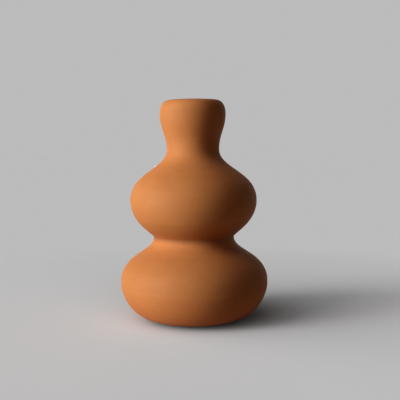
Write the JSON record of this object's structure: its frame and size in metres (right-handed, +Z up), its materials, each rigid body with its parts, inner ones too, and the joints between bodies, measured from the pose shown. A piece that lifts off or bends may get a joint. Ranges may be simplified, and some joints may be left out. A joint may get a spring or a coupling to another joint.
{
  "type": "ceramic vase",
  "caption": "Matt terracotta flower vase: two stacked round bulbs with a pinched waist and a narrow neck that flares into a rounded collar.",
  "frame": {"origin": "on the axis of the vase, in the plane that it stands on", "axes": "+Z up along the axis of the vase; +X to the right and +Y away from the front of the picture, which the round body doesn't distinguish"},
  "size_m": [0.201, 0.201, 0.3],
  "materials": {
    "clay": "matt fired terracotta",
    "slip": "matt fired slip",
    "glaze": "clear brown gloss glaze",
    "felt": "pressed felt"
  },
  "bodies": {
    "root": {"lower_bulb": "clay", "waist_seam": "slip", "upper_bulb": "clay", "neck_seam": "slip", "neck": "clay", "glaze_lining": "glaze", "foot_pad_front_right": "felt", "foot_pad_back_right": "felt", "foot_pad_back_left": "felt", "foot_pad_front_left": "felt"}
  },
  "joints": []
}
